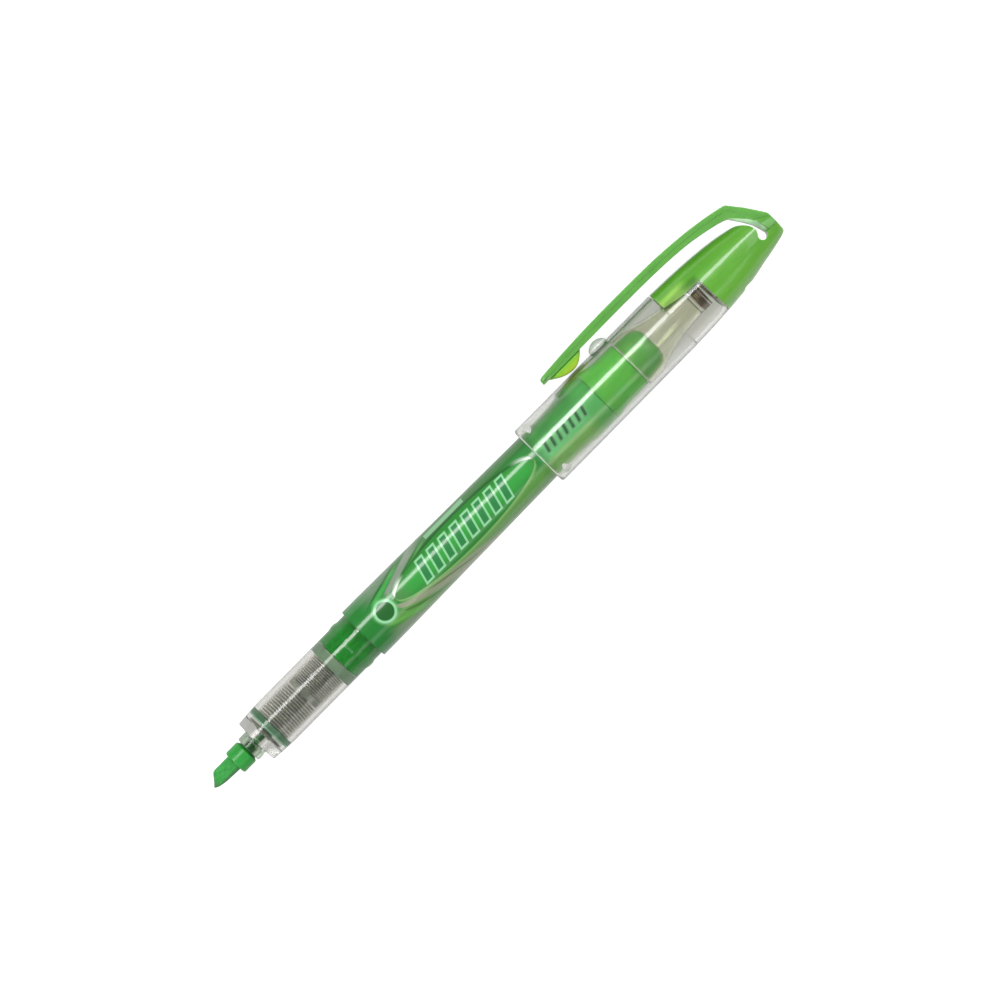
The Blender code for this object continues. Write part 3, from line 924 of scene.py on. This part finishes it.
def make_sleeve():
    start = 88.3
    length = 36

    def tapered(steps, radius, drop):
        """Points along the tube, which narrows by the drop over its length."""
        return [(start + step, radius - drop * step / length, 0) for step in steps]

    lip = []
    for step in range(7):
        turn = step * math.pi / 12
        lip.append((MOUTH + 0.6 - 0.6 * math.cos(turn), 6.0 + 0.6 * math.sin(turn), 0))
    # Close rings round the diamonds and the dome keep the joined faces small.
    profile = rounded(
        [
            (MOUTH, 5.98, 0.05),
            *lip,
            *tapered((0.8, 1.6, 3, 6, 12, 18, 20, 22, 24, 30), 6.6, 0.1),
            (SLEEVE_END, 6.5, 0.05),
            (SLEEVE_END, 5.7, 0.05),
            *tapered((30, 24, 22, 20, 18, 12, 6, 3, 1.6, 0.4), 5.78, 0.08),
            (MOUTH + 0.3, 5.78, 0.3),
        ],
        0.1,
        steps=5,
    )
    sleeve = lathe("clear_sleeve", profile)
    for angle in (60, 120, 240, 300):
        combine(sleeve, diamond(angle), "UNION")
    combine(sleeve, dome(), "UNION")
    look = frosted_dome(clear("cap_clear", (250, 251, 246), 0.12))
    finish_piece(sleeve, "cap", "cap_clear", look, "cap_sleeve")


# The crown's ovals: x, centre, half height, half width
CROWN = curve_through(
    [
        (124.0, 0.0, 6.50, 6.50),
        (128.7, 0.0, 6.35, 6.35),
        (132.5, 0.0, 6.13, 6.13),
        (136.3, 0.0, 5.82, 5.82),
        (138.2, 0.0, 5.59, 5.59),
        (140.1, 0.0, 5.31, 5.31),
        (141.9, 0.0, 4.97, 5.0),
        (143.8, -0.02, 4.55, 4.63),
        (145.7, -0.12, 4.12, 4.2),
        (147.6, -0.28, 3.58, 3.75),
        (149.5, -0.5, 2.92, 3.22),
        (150.3, -0.56, 2.59, 2.92),
        (150.62, -0.56, 2.39, 2.75),
    ],
    6,
)


def crown_form(name):
    """The crown before it is cut, with its ridge kept level though its middle drops."""
    rings = []
    for x, centre, tall, half in [*CROWN, (150.74, -0.53, 2.25, 2.64), (LENGTH, -0.5, 2.1, 2.5)]:
        lift = max(0.0, min(0.7, 1.36 - centre - 0.22 * tall))
        ring = ring_at(x, centre, tall, half)
        rings.append([(x, y + lift * (1 - ((y - centre) / tall) ** 2), z) for x, y, z in ring])
    return loft(name, rings)


# The inner edge of the clip's root, behind the slot
RIB_EDGE = [
    (144.7, 6.10),
    (146.26, 3.70),
    (147.3, 1.87),
    (147.72, 0.40),
    (147.98, CUT_Y),
]


def slot_outline():
    """The slot between crown and clip, with a round end, and all the room behind it."""
    outline = [(142.4, 6.6), (143.6, 4.95)]
    outline += curve_through(
        [(144.1, 4.42), (144.9, 3.98), (145.7, 3.3), (146.3, 2.55), (146.72, 1.65), (146.82, 0.8)], 4
    )
    for angle in range(128, 361, 8):
        turn = math.radians(angle)
        outline.append((147.05 + 0.95 * math.cos(turn), -0.7 + 0.95 * math.sin(turn)))
    outline += [(148.02, CUT_Y), (152, CUT_Y), (152, 8.0)]
    return outline


def translucent_green(name, dark, light):
    """Fluorescent green moulding that light soaks into, deepest in its thick parts."""
    paint = Paint(
        name, light, 0.3, Subsurface_Weight=0.45, Subsurface_Scale=0.0022, IOR=1.5,
        Transmission_Weight=0.12, Coat_Weight=0.7, Coat_Roughness=0.08,
    )
    paint.shader.inputs["Subsurface Radius"].default_value = (0.8, 1.0, 0.3)
    flow = paint.noise(0.2, (0.6, 1, 1), 3)
    # Painted light: paler towards the lower side, away from the clip.
    low_side_painted_light = paint.y.rise(0.5, -4.5)
    shade = paint.mix(flow.rise(0.2, 0.8), dark, light)
    paint.colour(paint.mix(low_side_painted_light * 0.5, shade, (124, 200, 62)))
    fine = paint.noise(7, (0.6, 1, 1), 2)
    paint.drive("Roughness", fine, 0.26, 0.36)
    paint.bump(fine, 0.001)
    return paint


# The tongue's lower edge, which rises towards the sleeve
TONGUE = [(120, 2.9), (124.0, 2.8), (125.2, 2.6), (126.6, 2.25), (128.6, 1.9), (132.35, 1.7)]


def make_crown():
    crown = crown_form("green_crown")
    hollow = [
        (122, 0),
        (122, 5.4),
        (HOUSING_REAR + 0.12, 5.4),
        (HOUSING_REAR + 0.12, 5.0),
        (135.7, 5.0),
        (137.5, 4.3),
        (141.0, 3.2),
        (143.4, 1.8),
        (143.4, 0),
    ]
    combine(crown, lathe("hollow", hollow), "DIFFERENCE")
    window = slab("window", [(120, -8), *TONGUE, (132.9, -8)], 9)
    combine(crown, window, "DIFFERENCE")
    combine(crown, slab("slot", slot_outline(), 7), "DIFFERENCE")
    notch = box_between("notch", (137.6, -7, -1.5), (139.6, -5.36, 1.5))
    combine(crown, notch, "DIFFERENCE")
    paint = translucent_green("crown_green", (90, 166, 44), (102, 176, 54))
    # The tongue is thin over the clear housing: its lower edge is painted paler, painted light for the
    # light it lets through, and towards the housing's rear it is made partly clear.
    thin = paint.x.rise(131.0, 127.5) * paint.y.rise(4.8, 3.6)
    # Painted light on the tongue's lower edge.
    paint.tint(thin, (160, 214, 100))
    see_through = paint.x.rise(132.8, 131.8) * paint.y.rise(3.8, 2.8)
    paint.drive("Transmission Weight", see_through, 0.12, 0.5)
    finish_piece(crown, "cap", "crown_green", paint.material, "cap_crown")


def make_housing():
    profile = rounded(
        [
            (123.88, 6.49),
            (128.7, 6.34, 5),
            (132.5, 6.12, 5),
            (HOUSING_REAR, 6.09),
            (HOUSING_REAR, 5.36),
            (HOUSING_REAR + 0.1, 5.3),
            (HOUSING_REAR + 0.1, 4.9),
            (135.4, 4.9),
            (135.4, 4.2),
            (133.8, 4.0),
            (133.8, 0, 0),
            (132.76, 0, 0),
            (132.76, 5.1, 0.1),
            (131.0, 5.4, 3),
            (123.88, 5.62),
        ],
        0.08,
    )
    # It has to start and end on the axis.
    start = profile.index((132.76, 0.0))
    profile = profile[start:] + profile[:start]
    housing = lathe("clear_housing", profile)
    # The crown's tongue lies in a recess over the housing's upper half.
    recess = lathe("recess", [(123.83, 5.3), (123.83, 8), (133.5, 8), (133.5, 5.3)])
    edge = [(x, y - 0.03) for x, y in TONGUE]
    combine(recess, slab("upper", [*edge, (140, 1.62), (140, 9), (120, 9)], 9), "INTERSECT")
    combine(housing, recess, "DIFFERENCE")
    look = clear("housing_clear", (252, 252, 246), 0.08).material
    finish_piece(housing, "cap", "housing_clear", look, "spring_housing")


def make_inner_cap():
    outside = curve_through(
        [
            (115.2, 5.42), (116.6, 5.13), (119.0, 4.33), (121.0, 3.85),
            (123.1, 3.45), (126.5, 3.1), (129.0, 2.95),
        ],
        5,
    )
    inside = curve_through(
        [
            (128.5, 2.45), (126.4, 2.66), (123.1, 3.0), (121.0, 3.4),
            (119.0, 3.88), (116.4, 4.74), (115.0, 5.02),
        ],
        5,
    )
    profile = [(129.1, 0), (129.1, 2.88)]
    profile += outside[::-1]
    profile += [(112.28, 5.45), (112.2, 5.38), (112.2, 5.12), (112.28, 5.06)]
    profile += inside[::-1]
    profile += [(128.64, 2.3), (128.66, 0)]
    paint = clear("inner_cap_clear", (252, 253, 240), 0.1)
    paint.shader.inputs["IOR"].default_value = 1.3
    paint.drive("Transmission Weight", paint.x.rise(112.65, 112.4) * 0.7, 1.0, 0.35)
    obj = lathe("clear_inner_cap", profile)
    finish_piece(obj, "inner_cap", "inner_cap_clear", paint.material, "inner_cap")


def make_spring():
    """The coil as a mesh tube, closely wound at its front end and opening towards its rear."""
    turns = 5.5
    close_turns = 4.1
    pitch = 0.39
    coil = 2.84
    wire = 0.19
    sides = 14
    steps = int(turns * 40)
    first = 129.16 + wire
    last = 132.74 - wire
    rings = []
    for i in range(steps + 1):
        turn = turns * i / steps
        angle = TURN * turn
        x = first + pitch * turn
        if turn > close_turns:
            opened = (turn - close_turns) / (turns - close_turns)
            x += (last - first - pitch * turns) * opened**1.3
        ring = []
        for k in range(sides):
            around = TURN * k / sides
            radius = coil + wire * math.cos(around)
            ring.append(
                (x + wire * math.sin(around), radius * math.cos(angle), radius * math.sin(angle))
            )
        rings.append(ring)
    spring = loft("coil_spring", rings)
    finish_piece(spring, None, "spring_steel", steel("spring_steel"), "inner_cap_spring", angle=60)
    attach(spring, "cap_spring")
    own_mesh(spring)


def clip_section(outer, inner, half, rib_half):
    """The clip's T section from its outer to its inner edge, which is bevelled at the bend."""
    depth = math.dist(outer, inner)
    flange = min(1.05, depth * 0.6)
    slope = 0.12 + 0.68 * max(0.0, min(1.0, (inner[0] - 144.0) / 2.6))
    slope = min(slope, depth - flange - 0.15)
    line = rounded(
        [
            (0, half, 0.18),
            (flange, half, 0.12),
            (flange, rib_half, 0.1),
            (depth - slope, rib_half, 0.1),
            (depth, rib_half - 0.45 * slope, 0.1),
            (depth, 0.45 * slope - rib_half, 0.1),
            (depth - slope, -rib_half, 0.1),
            (flange, -rib_half, 0.1),
            (flange, -half, 0.12),
            (0, -half, 0.18),
        ],
        0.2,
        steps=4,
    )
    ring = []
    for down, across in line:
        share = down / depth
        x = outer[0] + (inner[0] - outer[0]) * share
        y = outer[1] + (inner[1] - outer[1]) * share
        ring.append((x, y, across))
    return ring


def make_clip():
    # outer x, outer y, inner x, inner y, flange half width, rib half width
    arm = curve_through(
        [
            (99.9, 10.24, 99.9, 8.71, 2.5, 2.36),
            (104.8, 10.54, 104.8, 8.71, 2.5, 2.36),
            (110.75, 10.75, 110.75, 8.72, 2.5, 2.36),
            (118.7, 10.83, 118.7, 8.76, 2.5, 2.36),
            (128.7, 10.68, 128.5, 8.62, 2.5, 2.36),
            (135.7, 10.20, 135.2, 8.17, 2.5, 2.36),
            (139.9, 9.66, 139.3, 7.54, 2.5, 2.36),
            (143.1, 9.10, 142.4, 6.86, 2.5, 2.36),
            (145.1, 8.67, 144.1, 6.35, 2.5, 2.36),
        ],
        5,
    )
    bend = [
        (145.7, 8.5, 144.5, 6.15, 2.5, 2.4),
        (146.15, 8.25, 144.75, 5.95, 2.5, 2.4),
        (147.05, 7.08, 145.5, 4.85, 2.5, 2.42),
        (148.4, 5.34, 146.35, 3.55, 2.5, 2.46),
        (149.65, 3.42, 147.25, 1.95, 2.5, 2.46),
        (150.55, 2.0, 147.6, 0.85, 2.5, 2.46),
        (150.76, 1.62, 147.68, 0.5, 2.5, 2.46),
        (150.78, 1.3, 147.74, 0.3, 2.5, 2.46),
        (150.78, -1.2, 148.1, -1.3, 2.5, 2.46),
    ]
    tip = [
        (97.9, 9.62, 97.9, 8.74, 1.5, 1.1),
        (98.0, 9.84, 97.98, 8.72, 1.78, 1.3),
        (98.25, 10.04, 98.2, 8.71, 2.06, 1.5),
        (98.7, 10.15, 98.7, 8.71, 2.32, 1.68),
        (99.3, 10.20, 99.3, 8.71, 2.46, 1.78),
    ]
    rings = []
    for ox, oy, ix, iy, half, rib_half in tip + arm + bend:
        rings.append(clip_section((ox, oy), (ix, iy), half, rib_half))
    clip = loft("green_clip", rings)
    # The root spreads to the crown's full width behind the rib.
    inset = [(x + 0.85, y) for x, y in RIB_EDGE]
    root = [(146.4, 7.4)] + inset + [(153, CUT_Y), (153, 7.4)]
    shoulder = slab("root", root, 7)
    combine(shoulder, crown_form("root_form"), "INTERSECT")
    combine(clip, shoulder, "UNION")
    combine(clip, box_between("below", (140, -6, -8), (156, CUT_Y, 8)), "DIFFERENCE")
    paint = translucent_green("clip_green", (90, 164, 64), (102, 174, 74))
    # The bevel along the inside of the bend is thinner, and painted pale: a painted reflection of the
    # bright surroundings.
    x = paint.x
    y = paint.y
    edge = ((x - 144.8) * 0.85 + (y - 6.0) * 0.527).most(x - 148.0 + (y + 1) * 0.2)
    width = (y * -0.25 + 1.65).most(0.05).least(0.8)
    bend_only = x.rise(144.2, 146.0) * y.rise(-0.8, 0.4) * y.rise(6.7, 6.0)
    pale = (edge / width).rise(1.1, 0.75) * bend_only
    paint.tint(y.rise(2.8, -0.2), (84, 164, 42))
    # Painted reflection on the bevel.
    paint.tint(pale, (196, 238, 190))
    finish_piece(clip, None, "clip_green", paint.material, "clip_arm")
    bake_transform(clip)


def make_pad():
    """A lime grip with a round belly, widest where it meets the clip."""
    line = curve_through(
        [
            (99.35, 8.66),
            (100.1, 8.14),
            (101.2, 7.5),
            (102.4, 7.02),
            (103.5, 6.8),
            (104.1, 6.77),
            (104.9, 6.88),
            (105.8, 7.28),
            (106.6, 7.86),
            (107.2, 8.4),
            (107.45, 8.66),
        ],
        4,
    )
    top = 8.82
    rings = []
    for x, bottom in line:
        depth = top - bottom
        half = 1.8 * min(1.0, (depth / 1.2) ** 0.35)
        corner = min(0.45, depth * 0.45)
        rings.append(soft_ring(x, bottom, top, half, corner))
    obj = loft("lime_pad", rings)
    finish_piece(obj, "clip", "pad_lime", grip("pad_lime"), "clip_pad")


make_nib()
make_holder()
make_front_section()
make_seals()
make_comb()
make_inside()
make_barrel()
make_plug()
make_sleeve()
make_crown()
make_housing()
make_inner_cap()
make_spring()
make_clip()
make_pad()


# Studio


def make_floor():
    mesh = bpy.data.meshes.new("studio_floor")
    side = 3.0
    mesh.from_pydata(
        [(-side, -side, 0), (side, -side, 0), (side, side, 0), (-side, side, 0)], [], [(0, 1, 2, 3)]
    )
    mesh.materials.append(floor_paint())
    floor = bpy.data.objects.new("studio_floor", mesh)
    floor.location.z = CAD_BOX[0][2]
    bpy.context.scene.collection.objects.link(floor)


def area_light(name, place, target, long_side, short_side, power, long_axis):
    """A rectangular light that faces its target, with its long side along one axis."""
    light = bpy.data.lights.new(name, "AREA")
    light.shape = "RECTANGLE"
    light.size = long_side
    light.size_y = short_side
    light.energy = power
    obj = bpy.data.objects.new(name, light)
    back = (Vector(place) - Vector(target)).normalized()
    side = (Vector(long_axis) - back * Vector(long_axis).dot(back)).normalized()
    up = back.cross(side)
    turn = Matrix((side, up, back)).transposed().to_4x4()
    obj.matrix_world = Matrix.Translation(place) @ turn
    bpy.context.scene.collection.objects.link(obj)


def make_lights():
    world = bpy.data.worlds.new("studio")
    world.use_nodes = True
    background = world.node_tree.nodes["Background"]
    background.inputs["Color"].default_value = (1, 1, 1, 1)
    background.inputs["Strength"].default_value = 0.25
    bpy.context.scene.world = world
    middle = point(75, 0, 0)

    def towards(side, angle, distance):
        """A place over the pen's side, at an angle from overhead."""
        turn = math.radians(angle)
        return middle + Vector((0, side * math.sin(turn), math.cos(turn))) * distance

    along_pen = (1, 0, 0)
    across_pen = (0, 1, 0)
    # A strip on the clip's side draws the thin line along the pen, and a window the pale one.
    area_light("strip", towards(1, 27, 0.6), middle, 0.9, 0.14, 3.1, along_pen)
    area_light("window", towards(-1, 47, 0.8), middle, 0.9, 0.22, 0.6, along_pen)
    # Two softboxes beyond its ends light the colours and don't mirror in its round sides.
    for side in (-1, 1):
        place = middle + Vector((side * 0.8, 0, 0.62))
        area_light("softbox", place, middle, 1.0, 0.8, 4.4, across_pen)


def make_camera():
    """A long lens straight above the pen, turned so that the pen runs up to the right."""
    camera = bpy.data.cameras.new("camera")
    camera.sensor_width = 36
    distance = 1.2
    view_width = 0.1893
    camera.lens = camera.sensor_width * distance / view_width
    camera.clip_start = 0.05
    camera.clip_end = 20
    obj = bpy.data.objects.new("camera", camera)
    roll = math.radians(45.3)
    right = Vector((math.cos(roll), -math.sin(roll), 0))
    up = Vector((math.sin(roll), math.cos(roll), 0))
    back = Vector((0, 0, 1))
    place = point(76.6, -0.64, 0) + back * distance
    turn = Matrix((right, up, back)).transposed().to_4x4()
    obj.matrix_world = Matrix.Translation(place) @ turn
    bpy.context.scene.collection.objects.link(obj)
    bpy.context.scene.camera = obj


make_floor()
make_lights()
make_camera()
scene = bpy.context.scene
scene.view_settings.view_transform = "Standard"
scene.cycles.max_bounces = 24
scene.cycles.transmission_bounces = 24
